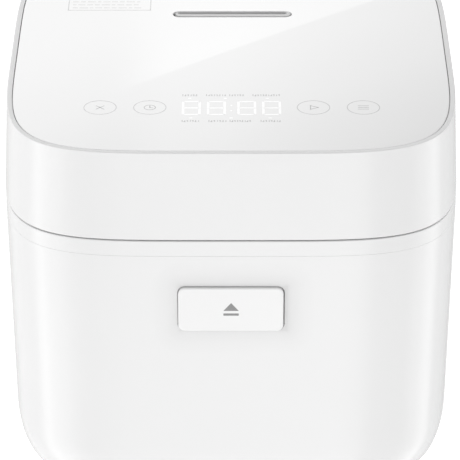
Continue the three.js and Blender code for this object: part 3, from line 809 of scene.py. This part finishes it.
def make_button():
    """A cap on a flange that stays behind the wall, with a printed eject mark."""
    front, back = BUTTON_LOW.y, BUTTON_HIGH.y - BUTTON_TRAVEL
    place = facing_front(0, BUTTON_Z)
    cap_place = facing_front(-0.15, BUTTON_Z + 0.15)
    cap = pillow(
        "release_button_skin", CAP_WIDE, CAP_TALL, 3.4, (front, back), cap_place, edge=0.7
    )
    flange = pillow("flange", 59.4, 30.6, 5.5, (front + 5.9, front + 7.5), place, edge=0.2)
    weld(cap, flange)
    dress(smooth(cap), WHITE_BUTTON, "button", ["release_button"])
    triangle = [(-3.9, -0.9), (3.9, -0.9), (0, 3.6)]
    depths = (front - 0.03, front + 0.2)
    arrow = loft("arrow", [[(u, v + 0.6, depth) for u, v in triangle] for depth in depths], place)
    bar = pillow("bar", 7.8, 1.3, 0.2, depths, facing_front(0, BUTTON_Z - 2.4), edge=0.01)
    dress(join("button_pictogram", [arrow, bar]), BUTTON_MARK, "button")


# ---- springs


def coil(name, start, along, radius, wire, length, turns):
    """A compression spring from start, in millimetres, with its end turns closed flat."""
    along = Vector(along)
    across = along.orthogonal().normalized()
    third = along.cross(across)
    rises = []
    for step in range(turns * COIL_STEPS):
        from_end = min(step, turns * COIL_STEPS - step) / COIL_STEPS
        rises.append(2.1 * wire + 6 * wire * min(max((from_end - 0.8) / 0.4, 0), 1))
    scale = (length - 2 * wire) / sum(rises)
    verts, height = [], wire
    for step in range(turns * COIL_STEPS + 1):
        angle = 2 * math.pi * step / COIL_STEPS
        out = across * math.cos(angle) + third * math.sin(angle)
        centre = Vector(start) + out * radius + along * height
        for side in range(WIRE_SIDES):
            turn = 2 * math.pi * side / WIRE_SIDES
            verts.append(centre + (out * math.cos(turn) + along * math.sin(turn)) * wire)
        if step < len(rises):
            height += rises[step] * scale
    faces = []
    for step in range(turns * COIL_STEPS):
        for side in range(WIRE_SIDES):
            a, b = step * WIRE_SIDES + side, step * WIRE_SIDES + (side + 1) % WIRE_SIDES
            faces.append([a, b, b + WIRE_SIDES, a + WIRE_SIDES])
    faces.append(list(range(WIRE_SIDES)))
    faces.append(list(range(len(verts) - WIRE_SIDES, len(verts))))
    return smooth(new_object(name, verts, faces))


def make_springs():
    """The button's two return springs, and the one under the temperature sensor."""
    for side in ("left", "right"):
        low, high = box_mm("button_spring_" + side)
        radius, wire, length = 3.2, 0.45, high.y - low.y
        front = (high.x - radius - wire, low.y, BUTTON_Z)
        spring = coil("button_coil_" + side, front, (0, 1, 0), radius, wire, length, 5)
        dress(spring, STEEL, "base", ["button_spring_" + side])
        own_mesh(spring)
    low, high = box_mm("sensor_spring")
    length = high.z - low.z
    foot = Vector((0, PLAN_Y, low.z))
    spring = coil("sensor_coil", foot, (0, 0, 1), 14.6, 0.7, length, 4)
    dress(spring, STEEL, "base", ["sensor_spring"])
    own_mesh(spring)


# ---- pot


def make_pot():
    radius, wall, corner = 99.2, 1.8, 12
    bottom, flange_z = POT_LOW.z, 153

    def bend(inset, steps=10):
        """The quarter round from the pot's floor into its wall."""
        tighter = corner - inset
        angles = [math.pi / 2 * step / steps for step in range(steps + 1)]
        return [
            (radius - corner + tighter * math.sin(a), bottom + corner - tighter * math.cos(a))
            for a in angles
        ]

    lip = soft([
        (radius, flange_z - 3, 0), (radius, flange_z, 0.5), (106, flange_z, 0.6),
        (106, flange_z + 2.1, 0.9), (radius - wall + 0.4, flange_z + 2.1, 1.5),
        (radius - wall, flange_z - 3, 0),
    ])
    floor = bottom + wall
    inside = bend(wall)[::-1] + [(62, floor), (30, floor + 0.4), (0, floor + 0.6)]
    profile = [(0, bottom)] + bend(0) + lip + inside
    pot = turned("inner_pot_skin", profile, segments=192)
    dress(smooth(pot), POT_COATING, "pot", ["inner_pot"])
    marks = []
    for side in (-1, 1):
        for level in range(1, 9):
            long = 7 if level % 2 == 0 else 4
            z = bottom + 18 + MARK_STEP * level
            marks.append(pot_mark(radius - wall, side, z, long, 0.6))
        z = bottom + 18 + MARK_STEP * 4.5
        marks.append(pot_mark(radius - wall, side, z, 0.7, MARK_STEP * 7.4))
    dress(join("pot_level_marks", marks), MARK_GREY, "pot")


def pot_mark(radius, side, z, long, tall):
    """A thin printed bar that follows the pot's inside wall, on its left or right."""
    steps, start = 8, math.radians(16) * side
    section = ((-0.1, -tall / 2), (0.06, -tall / 2), (0.06, tall / 2), (-0.1, tall / 2))
    rings = []
    for step in range(steps + 1):
        angle = start + side * (step / steps) * long / radius
        across, back = math.sin(angle), math.cos(angle)
        rings.append(
            [(across * (radius - depth), back * (radius - depth), z + dz) for depth, dz in section]
        )
    return loft("mark", rings, lambda u, v, height: (u, PLAN_Y + v, height))


# ---- lid


def make_lid_shell():
    inner = FULL_HALF - WALL
    seat = PANEL_HALF + GROOVE
    outer = soft([
        (inner, SEAM_Z + 0.1, 0.4), (FULL_HALF - 0.1, SEAM_Z + 0.1, 0.8),
        (FULL_HALF - 0.35, SEAM_Z + 6, 6), (LID_WALL_TOP, TOP_Z - 0.1, 0.4),
        (seat, TOP_Z - 0.1, 0.15, PANEL_SQUARENESS), (seat, PANEL_SEAT_Z, 0, PANEL_SQUARENESS),
        (seat - 8, PANEL_SEAT_Z, 0, PANEL_SQUARENESS),
        (seat - 8, PANEL_SEAT_UNDER, 0, PANEL_SQUARENESS), (inner - 1, TOP_Z - 8, 2),
    ], steps=6)
    shell = square_turned("lid_shell_skin", outer)
    deck = square_plate(seat - 7, PANEL_SEAT_UNDER, PANEL_SEAT_Z)
    barrel = rod_x("barrel", HINGE_R, -LID_KNUCKLE, LID_KNUCKLE, HINGE_Y, HINGE_Z)
    ends = (-LID_KNUCKLE + 0.4, LID_KNUCKLE - 0.4)
    web = block("web", ends, (HINGE_Y - 5, HINGE_Y), (SEAM_Z + 0.7, SEAM_Z + 7))
    troughs = []
    for side in (-1, 1):
        ends = sorted((side * (LID_KNUCKLE + 0.5), side * (BODY_KNUCKLE + 0.5)))
        troughs.append(hinge_trough(*ends))
    opening = steam_opening(0.35)
    weld(shell, deck, barrel, web)
    carve(shell, opening, *troughs)
    dress(smooth(shell), WHITE_LID, "lid", ["lid_shell"])
    ring_profile = soft([
        (seat, TOP_Z - 1, 0, PANEL_SQUARENESS), (LID_WALL_TOP - 0.4, TOP_Z - 1, 0),
        (LID_WALL_TOP - 0.4, TOP_Z, 0.2), (seat, TOP_Z, 0.15, PANEL_SQUARENESS),
    ])
    ring = square_turned("panel_trim_ring", ring_profile)
    dress(smooth(ring), RIM_GREY, "lid")


def make_touch_panel():
    profile = soft([
        (0, PANEL_LOW.z, 0), (PANEL_HALF, PANEL_LOW.z, 0, PANEL_SQUARENESS),
        (PANEL_HALF, PANEL_Z, 0.4, PANEL_SQUARENESS), (0, PANEL_Z, 0),
    ])
    panel = square_turned("touch_panel_skin", profile)
    carve(panel, steam_opening(0))
    dress(smooth(panel), PANEL_GLOSS, "lid", ["touch_panel"])


def steam_opening(extra):
    """The stadium hole for the steam outlet, through the panel or the deck below it."""
    place = facing_up(0.7, STEAM_Y + 0.8)
    wide = 8.2 + 2 * extra
    return pillow(
        "opening", 64.6 + 2 * extra, wide, wide / 2 - 0.02, (190, 210), place, edge=0.01
    )


def make_steam_outlet():
    """A rim level with the panel's face, with a hollow and its vent along the back half."""
    place = facing_up(1.1, STEAM_Y + 1.4)
    tray = pillow("steam_outlet_skin", 62.5, 6.4, 3.18, (PANEL_Z, 196), place, edge=0.25)
    place = facing_up(0.7, STEAM_Y + 2.5)
    hollow = pillow("hollow", 59.4, 3.2, 1.58, (210, PANEL_Z - 2.6), place, edge=0.01)
    place = facing_up(1.1, STEAM_Y + 2.65)
    vent = pillow("vent", 56, 2.2, 1.08, (210, 190), place, edge=0.01)
    carve(tray, hollow, vent)
    dress(smooth(tray), WHITE_TRIM, "lid", ["steam_outlet"])


def stroke(ends, width):
    """A round-ended printed line between two points on the panel."""
    (x0, y0), (x1, y1) = ends
    length = math.hypot(x1 - x0, y1 - y0) + width
    angle = math.atan2(y1 - y0, x1 - x0)
    cx, cy = (x0 + x1) / 2, (y0 + y1) / 2

    def place(u, v, depth):
        return (
            cx + u * math.cos(angle) - v * math.sin(angle),
            cy + u * math.sin(angle) + v * math.cos(angle),
            depth,
        )

    outline = rounded_outline(length, width, width * 0.499, 5)
    rings = [[(u, v, depth) for u, v in outline] for depth in (PRINT_HIGH, PRINT_LOW)]
    return loft("stroke", rings, place)


def ring_print(radius, width, at, segments=72):
    """A printed circle on the panel."""
    profile = [
        (radius - width, PRINT_LOW), (radius, PRINT_LOW), (radius, PRINT_HIGH),
        (radius - width, PRINT_HIGH),
    ]
    return turned("ring", profile, at, segments)


def make_key_prints():
    """Four ringed keys: a cross, a clock, a play mark and a list."""
    width = 0.5
    rings = [ring_print(KEY_R, width, (x, KEY_Y)) for x in KEY_XS]
    dress(join("key_rings", rings), PRINT_GREY, "lid")
    cancel, timer, start, choose = KEY_XS
    lines = [
        ((cancel - 2, KEY_Y - 2), (cancel + 2, KEY_Y + 2)),
        ((cancel - 2, KEY_Y + 2), (cancel + 2, KEY_Y - 2)),
        ((timer, KEY_Y), (timer, KEY_Y + 2)),
        ((timer, KEY_Y), (timer + 1.5, KEY_Y - 0.5)),
        ((start - 1.5, KEY_Y - 2.2), (start - 1.5, KEY_Y + 2.2)),
        ((start - 1.5, KEY_Y + 2.2), (start + 2.4, KEY_Y)),
        ((start + 2.4, KEY_Y), (start - 1.5, KEY_Y - 2.2)),
    ]
    lines += [((choose - 2.6, KEY_Y + dy), (choose + 2.6, KEY_Y + dy)) for dy in (-2, 0, 2)]
    marks = [stroke(ends, width) for ends in lines] + [ring_print(3.1, width, (timer, KEY_Y))]
    dress(join("key_icons", marks), PRINT_DIM, "lid")


def digit_strokes(left):
    """The seven bars of one display digit, all lit."""
    wide, deep, inset = 8.4, 15.6, 0.35
    low = PLAN_Y - 82
    middle = low + deep / 2
    right, high = left + wide, low + deep
    return [
        ((left + inset, low), (right - inset, low)),
        ((left + 2 * inset, middle), (right - 2 * inset, middle)),
        ((left + inset, high), (right - inset, high)),
        ((left, low + inset), (left, middle - inset)),
        ((left, middle + inset), (left, high - inset)),
        ((right, low + inset), (right, middle - inset)),
        ((right, middle + inset), (right, high - inset)),
    ]


def make_display_prints():
    """Four digits with a colon, a dot beside most menu words, and the words' bars."""
    lit = [stroke(ends, 1.2) for left in (-24.5, -11.7, 3.8, 16.5) for ends in digit_strokes(left)]
    lit += [stroke(((0.1, y - 0.2), (0.1, y + 0.2)), 1.0) for y in (PLAN_Y - 71, PLAN_Y - 77.5)]
    for dy, xs in ((-62.4, (-21.2, -3, 18.5)), (-86.2, (-20.5, 0, 19.8))):
        lit += [stroke(((x - 0.35, PLAN_Y + dy), (x + 0.35, PLAN_Y + dy)), 1.1) for x in xs]
    dress(join("display_digits", lit), DISPLAY_WHITE, "lid")
    rows = {
        -58.6: ((-25.1, -17.4), (-12.9, -2.7), (-1.0, 6.5), (11.0, 25.1)),
        -89.8: ((-25.1, -16.2), (-11.5, -2.3), (-0.8, 10.0), (14.9, 25.1)),
    }
    bars = []
    for dy, spans in rows.items():
        for span in spans:
            bars += menu_bars(span, PLAN_Y + dy)
    dress(join("menu_bars", bars), PRINT_GREY, "lid")


def menu_bars(span, y):
    """A menu word's place, marked by a row of short bars of uneven height."""
    x0, x1 = span
    count = round((x1 - x0) / 1.25)
    bars = []
    for i in range(count):
        x = x0 + 0.3 + (x1 - x0 - 0.6) * i / (count - 1)
        top = (1.1, 0.6, 0.6, 0.9, 0.6)[i % 5]
        bars.append(stroke(((x, y - 0.75), (x, y + top)), 0.55))
        if i % 3:
            link_y = y + 0.45 - 1.1 * (i % 2)
            bars.append(stroke(((x - 0.6, link_y), (x, link_y)), 0.4))
    return bars


def make_note_box():
    """A ruled box with five rows of dashes, in the rear left corner of the panel."""
    x0, x1, y0, y1 = -88.4, -43.8, PLAN_Y + 52, PLAN_Y + 75.5
    lines = [((x0, y), (x1, y)) for y in (y0, y1)] + [((x, y0), (x, y1)) for x in (x0, x1)]
    for row in range(5):
        y = y0 + 3.2 + 4.2 * row
        x = x0 + 2.5
        for i in range(9):
            length = (2.2, 4.1, 1.4, 3.3, 2.7)[(2 * row + i) % 5]
            if x + length < x1 - 2:
                lines.append(((x, y), (x + length, y)))
            x += length + 1.5
    parts = [stroke(ends, 0.6) for ends in lines]
    dress(join("panel_note_box", parts), PRINT_GREY, "lid")


def make_lid_liner():
    """The lid's underside: a border, and a dished well that holds the inner lid."""
    liner_low, liner_high = box_mm("lid_liner")
    z, half = liner_low.z, liner_high.x
    rim = 104
    border = soft([
        (0, z, 0), (half, z, 1.0), (half, z + 8, 0), (half - 2, z + 8, 0), (half - 2, z + 2.5, 0),
        (0, z + 2.5, 0),
    ])
    liner = square_turned("lid_liner_skin", border)
    well = drill(rim + 1, 150, 190, segments=160)
    dish_profile = soft([
        (0, z + 8.5, 0), (rim, z + 8.5, 2.0), (rim, z, 0.8), (rim + 2.2, z, 0),
        (rim + 2.2, z + 10.5, 0), (0, z + 10.5, 0),
    ])
    dish = turned("dish", dish_profile, segments=160)
    catch_place = facing_up(0, PLAN_Y - 113.8)
    catch_slot = pillow("slot", 27, 14.4, 2, (150, 175), catch_place, edge=0.01)
    steam_hole = drill(13, 150, 180, (0, STEAM_Y), 64)
    carve(liner, well)
    weld(liner, dish)
    carve(liner, catch_slot, steam_hole)
    dress(smooth(liner), LINER_PLASTIC, "lid", ["lid_liner"])


def make_inner_lid():
    """The removable disc with its steam holes, its rim seal and its grommet."""
    low, high = box_mm("inner_lid")
    z, radius = low.z, high.x
    profile = soft([
        (9, z + 1.6, 0.2), (69, z + 1.6, 2.0), (79, z, 2.0), (radius, z, 0.3),
        (radius, z + 1.2, 0.3), (80, z + 1.2, 2.0), (70, z + 2.8, 2.0), (9, z + 2.8, 0.2),
    ], steps=6)
    disc = turned("inner_lid_skin", profile, segments=160)
    holes = [drill(7.4, 150, 170, (0, STEAM_Y), 48)]
    for i in range(10):
        angle = 2 * math.pi * i / 10
        at = (11.5 * math.sin(angle), STEAM_Y + 11.5 * math.cos(angle))
        holes.append(drill(1.1, 150, 170, at, 20))
    carve(disc, *holes)
    dress(smooth(disc), SPUN_ALUMINIUM, "lid", ["inner_lid"])
    seal_profile = soft([
        (95.5, 157.0, 0.3), (99, 156.9, 0.6), (103.3, 155.4, 0.25), (103.5, 156.2, 0.4),
        (100.2, 158.4, 0.8), (100.2, 160.2, 0.6), (96, 160.0, 0.3), (96, 159.5, 0),
        (97.8, 159.5, 0), (97.8, 157.7, 0), (95.5, 157.7, 0),
    ])
    seal = turned("inner_lid_seal_skin", seal_profile, segments=160)
    dress(smooth(seal), SILICONE, "lid", ["inner_lid_seal"])
    grommet_profile = soft([
        (0, 158.4, 0), (3, 158.2, 0.6), (4.4, 157.8, 0.3), (10.8, 157.8, 1.2), (11, 159.3, 0.3),
        (8.7, 159.3, 0), (8.7, 161.1, 0), (11, 161.1, 0), (11, 162.6, 0.5), (0, 162.6, 0),
    ])
    grommet = turned("inner_lid_grommet_skin", grommet_profile, segments=64)
    dress(smooth(grommet), SILICONE, "lid", ["inner_lid_grommet"])


# ---- CAD nodes that stay


def repaint(material, *prefixes):
    """Gives a material to the CAD nodes still shown whose names start with a prefix."""
    for name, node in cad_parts.items():
        if any(name.startswith(prefix) for prefix in prefixes) and not node.hide_render:
            node.data.materials.clear()
            node.data.materials.append(material)


def repaint_cad_nodes():
    repaint(STEEL, "heat_liner", "sensor_bracket", "thermal_", "hinge_pin", "latch_pin")
    repaint(STEEL, "lid_catch", "base_screw", "lid_screw", "touch_spring")
    repaint(CAST_ALUMINIUM, "heater_plate", "temp_sensor")
    repaint(BRASS, "inlet_pin")
    repaint(BLACK_PLASTIC, "transformer", "relay", "display_module")
    repaint(BOARD_GREEN, "power_board", "control_board")
    repaint(SLEEVE, "capacitor", "inlet_lead", "heater_lead")
    repaint(GREY_PLASTIC, "steam_valve_body")
    repaint(SILICONE, "steam_valve_gasket")
    repaint(WHITE_TRIM, "latch_lever")


# ---- camera, light and floor

CAMERA_FOCAL = 266.1
CAMERA_PITCH = 26.955
CAMERA_X = -0.54
CAMERA_BACK = 1649.6
CAMERA_ABOVE_SEAM = 778.9
FLOOR_GLOW = 0.42


def make_camera():
    data = bpy.data.cameras.new("camera")
    data.lens = CAMERA_FOCAL
    data.sensor_width = 36
    data.clip_end = 20
    camera = bpy.data.objects.new("camera", data)
    place = (CAMERA_X, PLAN_Y - CAMERA_BACK, SEAM_Z + CAMERA_ABOVE_SEAM)
    camera.location = [c * MM for c in place]
    camera.rotation_euler = (math.radians(90 - CAMERA_PITCH), 0, 0)
    bpy.context.scene.collection.objects.link(camera)
    bpy.context.scene.camera = camera


def area_light(name, location, target, size, power):
    data = bpy.data.lights.new(name, "AREA")
    data.shape = "RECTANGLE"
    data.size = data.size_y = size
    data.energy = power
    light = bpy.data.objects.new(name, data)
    light.location = location
    aim = Vector(target) - Vector(location)
    light.rotation_euler = aim.to_track_quat("-Z", "Y").to_euler()
    light.visible_glossy = False
    bpy.context.scene.collection.objects.link(light)


# The softbox's face: its slanted height in degrees, and half its brightness there. SOFTBOX is
# its right part, which ends in a sharp step, and SOFTBOX_FADED is its left part.
SOFTBOX_RANGE = (22, 28)
SOFTBOX = (
    (22.0, 0.84), (22.8, 0.87), (23.8, 0.94), (24.3, 0.92), (24.7, 0.89), (25.2, 0.86),
    (25.6, 0.8), (26.0, 0.75), (26.4, 0.7), (26.8, 0.6), (28.0, 0.5),
)
SOFTBOX_FADED = (
    (22.0, 0.93), (22.8, 0.94), (23.3, 0.92), (23.6, 0.9),
    (24.0, 0.88), (24.5, 0.82), (25.2, 0.73), (28.0, 0.4),
)
SOFTBOX_SLANT = 0.33
SOFTBOX_EDGE, SOFTBOX_STEP = 23.93, 0.14
SOFTBOX_DIMMING = -0.05
SOFTBOX_AIM_Y, SOFTBOX_AIM_Z = 0.914, 0.407
# Bearing from the front in degrees, left negative, and half the brightness seen there.
CARDS = (
    (-170, 0.37), (-156, 0.39), (-145, 0.44), (-125, 0.38), (-110, 0.33), (-101, 0.32),
    (-94, 0.40), (-86, 0.69), (-79, 0.90), (-72, 0.76), (-64, 0.64), (-54, 0.54),
    (-46, 0.48), (-38, 0.26), (-30, 0.15), (-22, 0.12), (-14, 0.22), (-6, 0.40),
    (10, 0.53), (16, 0.46), (24, 0.04), (30, 0.00), (54, 0.00), (78, 0.36),
    (90, 0.60), (102, 0.74), (110, 0.59), (120, 0.32), (130, 0.34), (170, 0.33),
)
# Height in degrees, and half the brightness of the room there.
ROOM = ((0, 0.45), (25, 0.405), (50, 0.335), (90, 0.29))
WORLD_STRENGTH = 2.0


def make_world():
    """A pale studio: bright round the horizon, dimmer overhead, with one large softbox behind."""
    world = bpy.data.worlds.new("studio")
    bpy.context.scene.world = world
    world.use_nodes = True
    tree = world.node_tree
    calc = partial(node_math, tree)
    direction = tree.nodes.new("ShaderNodeTexCoord").outputs["Generated"]
    split = tree.nodes.new("ShaderNodeSeparateXYZ")
    tree.links.new(direction, split.inputs["Vector"])
    x, y, z = split.outputs
    height = calc("DEGREES", calc("ARCSINE", z))
    bearing = calc("DEGREES", calc("ARCTAN2", x, y))
    # Room light falls off towards the ceiling.
    room = node_ramp(tree, height, 0, 90, ROOM)
    # The softbox's edge runs on a slant, and its face dims from lower left to upper right.
    slant = calc("ADD", height, calc("MULTIPLY", bearing, SOFTBOX_SLANT))
    face = node_ramp(tree, slant, *SOFTBOX_RANGE, SOFTBOX, smooth=False)
    lit = calc("MULTIPLY", calc("LESS_THAN", slant, SOFTBOX_EDGE), SOFTBOX_STEP)
    dimming = calc("MULTIPLY", calc("MAXIMUM", bearing, 0), SOFTBOX_DIMMING)
    edged = calc("ADD", calc("ADD", face, lit), dimming)
    faded = node_ramp(tree, slant, *SOFTBOX_RANGE, SOFTBOX_FADED, smooth=False)
    along = node_ramp(tree, bearing, -4, 4, [(-2.4, 1.0), (-1.0, 0.0)])
    softbox = node_mix(tree, along, edged, faded)
    # The softbox fills a round patch of sky, centred behind the cooker and 24 degrees up.
    aim_y = calc("MULTIPLY", y, SOFTBOX_AIM_Y)
    aim_z = calc("MULTIPLY", z, SOFTBOX_AIM_Z)
    toward = calc("ADD", aim_y, aim_z)
    window = node_ramp(tree, toward, 0.8, 1, [(0.955, 0.0), (0.985, 1.0)])
    upper = node_mix(tree, window, room, softbox)
    # Cards set low round the table give the side walls their upright bands of light.
    front = calc("MULTIPLY", y, -1)
    turn = calc("DEGREES", calc("ARCTAN2", x, front))
    cards = node_ramp(tree, turn, -180, 180, CARDS)
    below = node_ramp(tree, height, -8, 2, [(-6, 1.0), (0, 0.0)])
    whole = node_mix(tree, below, upper, cards)
    background = tree.nodes["Background"]
    background.inputs["Strength"].default_value = WORLD_STRENGTH
    tree.links.new(whole, background.inputs["Color"])


def make_floor():
    bpy.ops.mesh.primitive_plane_add(size=40, location=(0, 0, 0))
    floor = bpy.context.active_object
    floor.name = "floor"
    g = Graph("floor_white")
    g.tones(g.noise(2, 2), 254, 255)
    g.set(Roughness=0.9, Emission_Color=(1, 1, 1, 1), Emission_Strength=FLOOR_GLOW)
    floor.data.materials.append(g.material)
    floor.visible_glossy = False


def make_lights():
    """Two soft lights from the left. Reflections show only the world."""
    scene = bpy.context.scene
    scene.view_settings.view_transform = "Standard"
    scene.view_settings.look = "None"
    area_light("left", (-1.0, 0.2, 0.75), (0, 0, 0.15), 0.8, 1.4)
    area_light("front_left", (-1.1, -0.75, 0.5), (0, 0, 0.12), 0.5, 0.22)


# ---- build

make_camera()
make_world()
make_lights()
make_floor()
make_body_shell()
make_upper_frame()
make_pot_collar()
make_base()
make_inlet()
make_button()
make_springs()
make_pot()
make_lid_shell()
make_touch_panel()
make_steam_outlet()
make_key_prints()
make_display_prints()
make_note_box()
make_lid_liner()
make_inner_lid()
repaint_cad_nodes()
